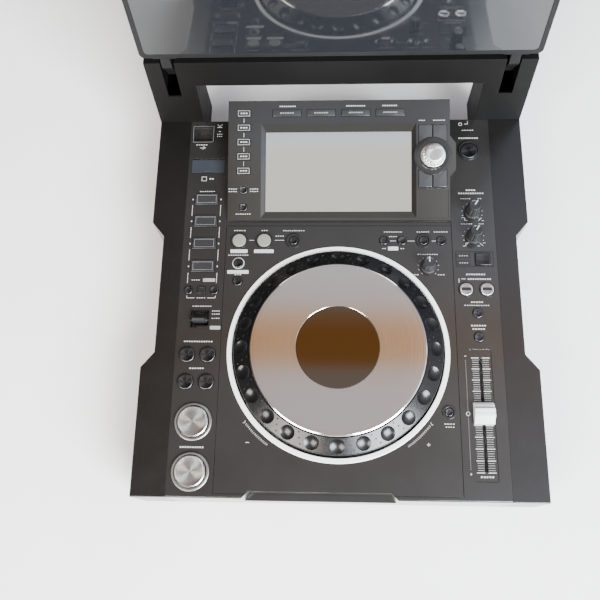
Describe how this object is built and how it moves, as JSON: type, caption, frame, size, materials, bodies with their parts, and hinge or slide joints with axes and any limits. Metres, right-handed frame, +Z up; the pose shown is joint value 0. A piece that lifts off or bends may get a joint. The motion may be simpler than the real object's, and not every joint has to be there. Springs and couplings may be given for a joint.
{
  "type": "tabletop dj cd player",
  "caption": "Flat slot-in disc player with a large jog dial, a tilted display, a tempo slider, pads and a fold-down screen on a riser at the rear.",
  "frame": {"origin": "on the table, under the middle of the part's bounding box with the screen open", "axes": "+X to the user's right, +Y away from the user towards the screen, +Z up"},
  "size_m": [0.3914, 0.4676, 0.3835],
  "materials": {
    "deck_plastic": "satin",
    "case_sheet": "satin",
    "screen_case": "matte",
    "display_glass": "gloss",
    "silver_ring": "satin",
    "jog_rubber": "satin",
    "jog_metal": "polished",
    "jog_tint": "gloss",
    "display_module": "matte",
    "spun_silver": "brushed",
    "key_black": "satin",
    "key_pale": "matte",
    "knob_black": "matte",
    "fader_white": "matte",
    "feet_rubber": "matte",
    "steel": "satin",
    "light_metal": "satin",
    "board": "matte",
    "socket_black": "matte"
  },
  "bodies": {
    "chassis": {"base_pan": "case_sheet", "top_cover": "deck_plastic", "centre_panel": "deck_plastic", "side_frame_left": "case_sheet", "side_frame_right": "case_sheet", "riser": "case_sheet", "display_housing": "deck_plastic", "display_panel": "display_glass", "feet": "feet_rubber", "jog_ring": "silver_ring", "jog_display": "display_module", "fader_unit": "steel", "disc_drive": "light_metal", "main_board": "board", "power_supply": "light_metal", "rear_sockets": "socket_black"},
    "jog": {"jog_rim": "jog_rubber"},
    "jog_top": {"jog_plate": "jog_metal", "jog_window": "jog_tint"},
    "selector_shaft": {"selector_shaft": "steel"},
    "selector": {"selector_knob": "spun_silver"},
    "screen": {"screen_shell": "screen_case", "screen_panel": "display_glass", "screen_arms": "steel"},
    "cue_key": {"cue_key": "spun_silver"},
    "play_key": {"play_key": "spun_silver"},
    "cue_pad_a": {"cue_pad_a": "key_black"},
    "cue_pad_b": {"cue_pad_b": "key_black"},
    "cue_pad_c": {"cue_pad_c": "key_black"},
    "cue_pad_d": {"cue_pad_d": "key_black"},
    "bank_keys": {"bank_keys": "key_black"},
    "cue_call_keys": {"cue_call_keys": "key_black"},
    "jog_mode_key": {"jog_mode_key": "key_black"},
    "loop_in_key": {"loop_in_key": "key_pale"},
    "loop_out_key": {"loop_out_key": "key_pale"},
    "reloop_key": {"reloop_key": "key_black"},
    "beat_key": {"beat_key": "key_black"},
    "slip_key": {"slip_key": "key_black"},
    "delete_key": {"delete_key": "key_black"},
    "memory_key": {"memory_key": "key_black"},
    "tempo_reset_key": {"tempo_reset_key": "key_black"},
    "track_back_key": {"track_back_key": "key_black"},
    "track_forward_key": {"track_forward_key": "key_black"},
    "search_back_key": {"search_back_key": "key_black"},
    "search_forward_key": {"search_forward_key": "key_black"},
    "eject_key": {"eject_key": "key_black"},
    "sync_key": {"sync_key": "spun_silver"},
    "master_key": {"master_key": "spun_silver"},
    "tempo_range_key": {"tempo_range_key": "key_black"},
    "master_tempo_key": {"master_tempo_key": "key_black"},
    "menu_keys": {"menu_keys": "key_black"},
    "browse_keys": {"browse_keys": "key_black"},
    "nav_keys": {"nav_keys": "key_black"},
    "power_button": {"power_button": "socket_black"},
    "jog_adjust_knob": {"jog_adjust_knob": "knob_black"},
    "touch_speed_knob": {"touch_speed_knob": "knob_black"},
    "release_speed_knob": {"release_speed_knob": "knob_black"},
    "direction_lever": {"direction_lever": "knob_black"},
    "tempo_fader": {"tempo_fader": "fader_white"},
    "card_door": {"card_door": "deck_plastic"}
  },
  "joints": [
    {"name": "jog_turn", "type": "hinge", "parent": "chassis", "child": "jog", "pos_m": [0, -0.09079, 0.09], "axis": [0, 0, 1], "continuous": true},
    {"name": "jog_press", "type": "slide", "parent": "jog", "child": "jog_top", "axis": [0, 0, -1], "range_m": [0, 0.0005], "stiffness_N_per_m": 3000, "springref_m": -0.0015},
    {"name": "selector_press", "type": "slide", "parent": "chassis", "child": "selector_shaft", "axis": [0, 0.2591, -0.9658], "range_m": [0, 0.0008], "stiffness_N_per_m": 300, "springref_m": -0.003},
    {"name": "selector_turn", "type": "hinge", "parent": "selector_shaft", "child": "selector", "pos_m": [0.0981, 0.1134, 0.09449], "axis": [0, -0.2591, 0.9658], "continuous": true},
    {"name": "cue_press", "type": "slide", "parent": "chassis", "child": "cue_key", "axis": [0, 0, -1], "range_m": [0, 0.0012], "stiffness_N_per_m": 300, "springref_m": -0.003},
    {"name": "play_press", "type": "slide", "parent": "chassis", "child": "play_key", "axis": [0, 0, -1], "range_m": [0, 0.0012], "stiffness_N_per_m": 300, "springref_m": -0.003},
    {"name": "cue_pad_a_press", "type": "slide", "parent": "chassis", "child": "cue_pad_a", "axis": [0, 0, -1], "range_m": [0, 0.0008], "stiffness_N_per_m": 120, "springref_m": -0.002},
    {"name": "cue_pad_b_press", "type": "slide", "parent": "chassis", "child": "cue_pad_b", "axis": [0, 0, -1], "range_m": [0, 0.0008], "stiffness_N_per_m": 120, "springref_m": -0.002},
    {"name": "cue_pad_c_press", "type": "slide", "parent": "chassis", "child": "cue_pad_c", "axis": [0, 0, -1], "range_m": [0, 0.0008], "stiffness_N_per_m": 120, "springref_m": -0.002},
    {"name": "cue_pad_d_press", "type": "slide", "parent": "chassis", "child": "cue_pad_d", "axis": [0, 0, -1], "range_m": [0, 0.0008], "stiffness_N_per_m": 120, "springref_m": -0.002},
    {"name": "bank_press", "type": "slide", "parent": "chassis", "child": "bank_keys", "axis": [0, 0, -1], "range_m": [0, 0.0008], "stiffness_N_per_m": 120, "springref_m": -0.002},
    {"name": "cue_call_press", "type": "slide", "parent": "chassis", "child": "cue_call_keys", "axis": [0, 0, -1], "range_m": [0, 0.0008], "stiffness_N_per_m": 120, "springref_m": -0.002},
    {"name": "jog_mode_press", "type": "slide", "parent": "chassis", "child": "jog_mode_key", "axis": [0, 0, -1], "range_m": [0, 0.0008], "stiffness_N_per_m": 120, "springref_m": -0.002},
    {"name": "loop_in_press", "type": "slide", "parent": "chassis", "child": "loop_in_key", "axis": [0, 0, -1], "range_m": [0, 0.0008], "stiffness_N_per_m": 120, "springref_m": -0.002},
    {"name": "loop_out_press", "type": "slide", "parent": "chassis", "child": "loop_out_key", "axis": [0, 0, -1], "range_m": [0, 0.0008], "stiffness_N_per_m": 120, "springref_m": -0.002},
    {"name": "reloop_press", "type": "slide", "parent": "chassis", "child": "reloop_key", "axis": [0, 0, -1], "range_m": [0, 0.0008], "stiffness_N_per_m": 120, "springref_m": -0.002},
    {"name": "beat_press", "type": "slide", "parent": "chassis", "child": "beat_key", "axis": [0, 0, -1], "range_m": [0, 0.0008], "stiffness_N_per_m": 120, "springref_m": -0.002},
    {"name": "slip_press", "type": "slide", "parent": "chassis", "child": "slip_key", "axis": [0, 0, -1], "range_m": [0, 0.0008], "stiffness_N_per_m": 120, "springref_m": -0.002},
    {"name": "delete_press", "type": "slide", "parent": "chassis", "child": "delete_key", "axis": [0, 0, -1], "range_m": [0, 0.0008], "stiffness_N_per_m": 120, "springref_m": -0.002},
    {"name": "memory_press", "type": "slide", "parent": "chassis", "child": "memory_key", "axis": [0, 0, -1], "range_m": [0, 0.0008], "stiffness_N_per_m": 120, "springref_m": -0.002},
    {"name": "tempo_reset_press", "type": "slide", "parent": "chassis", "child": "tempo_reset_key", "axis": [0, 0, -1], "range_m": [0, 0.0008], "stiffness_N_per_m": 120, "springref_m": -0.002},
    {"name": "track_back_press", "type": "slide", "parent": "chassis", "child": "track_back_key", "axis": [0, 0, -1], "range_m": [0, 0.0008], "stiffness_N_per_m": 120, "springref_m": -0.002},
    {"name": "track_forward_press", "type": "slide", "parent": "chassis", "child": "track_forward_key", "axis": [0, 0, -1], "range_m": [0, 0.0008], "stiffness_N_per_m": 120, "springref_m": -0.002},
    {"name": "search_back_press", "type": "slide", "parent": "chassis", "child": "search_back_key", "axis": [0, 0, -1], "range_m": [0, 0.0008], "stiffness_N_per_m": 120, "springref_m": -0.002},
    {"name": "search_forward_press", "type": "slide", "parent": "chassis", "child": "search_forward_key", "axis": [0, 0, -1], "range_m": [0, 0.0008], "stiffness_N_per_m": 120, "springref_m": -0.002},
    {"name": "eject_press", "type": "slide", "parent": "chassis", "child": "eject_key", "axis": [0, 0, -1], "range_m": [0, 0.0008], "stiffness_N_per_m": 120, "springref_m": -0.002},
    {"name": "sync_press", "type": "slide", "parent": "chassis", "child": "sync_key", "axis": [0, 0, -1], "range_m": [0, 0.0008], "stiffness_N_per_m": 120, "springref_m": -0.002},
    {"name": "master_press", "type": "slide", "parent": "chassis", "child": "master_key", "axis": [0, 0, -1], "range_m": [0, 0.0008], "stiffness_N_per_m": 120, "springref_m": -0.002},
    {"name": "tempo_range_press", "type": "slide", "parent": "chassis", "child": "tempo_range_key", "axis": [0, 0, -1], "range_m": [0, 0.0008], "stiffness_N_per_m": 120, "springref_m": -0.002},
    {"name": "master_tempo_press", "type": "slide", "parent": "chassis", "child": "master_tempo_key", "axis": [0, 0, -1], "range_m": [0, 0.0008], "stiffness_N_per_m": 120, "springref_m": -0.002},
    {"name": "menu_press", "type": "slide", "parent": "chassis", "child": "menu_keys", "axis": [0, 0.2591, -0.9658], "range_m": [0, 0.0005], "stiffness_N_per_m": 200, "springref_m": -0.003},
    {"name": "browse_press", "type": "slide", "parent": "chassis", "child": "browse_keys", "axis": [0, 0.2591, -0.9658], "range_m": [0, 0.0005], "stiffness_N_per_m": 200, "springref_m": -0.003},
    {"name": "nav_press", "type": "slide", "parent": "chassis", "child": "nav_keys", "axis": [0, 0.2591, -0.9658], "range_m": [0, 0.0005], "stiffness_N_per_m": 200, "springref_m": -0.003},
    {"name": "power_press", "type": "slide", "parent": "chassis", "child": "power_button", "axis": [0, -1, 0], "range_m": [0, 0.003], "stiffness_N_per_m": 150, "springref_m": -0.002},
    {"name": "jog_adjust_turn", "type": "hinge", "parent": "chassis", "child": "jog_adjust_knob", "pos_m": [0.0919, -0.00209, 0.08], "axis": [0, 0, 1], "range_deg": [-150, 150]},
    {"name": "touch_speed_turn", "type": "hinge", "parent": "chassis", "child": "touch_speed_knob", "pos_m": [0.1391, 0.05831, 0.08], "axis": [0, 0, 1], "range_deg": [-150, 150]},
    {"name": "release_speed_turn", "type": "hinge", "parent": "chassis", "child": "release_speed_knob", "pos_m": [0.1391, 0.03051, 0.08], "axis": [0, 0, 1], "range_deg": [-150, 150]},
    {"name": "direction_tilt", "type": "hinge", "parent": "chassis", "child": "direction_lever", "pos_m": [-0.1393, -0.05859, 0.071], "axis": [-1, 0, 0], "range_deg": [0, 28]},
    {"name": "tempo_slide", "type": "slide", "parent": "chassis", "child": "tempo_fader", "axis": [0, 1, 0], "range_m": [-0.05, 0.05]},
    {"name": "card_door_swing", "type": "hinge", "parent": "chassis", "child": "card_door", "pos_m": [-0.1401, 0.12051, 0.0737], "axis": [-1, 0, 0], "range_deg": [0, 95]},
    {"name": "screen_fold", "type": "hinge", "parent": "chassis", "child": "screen", "pos_m": [0, 0.19625, 0.137], "axis": [1, 0, 0], "range_deg": [0, 98]}
  ]
}
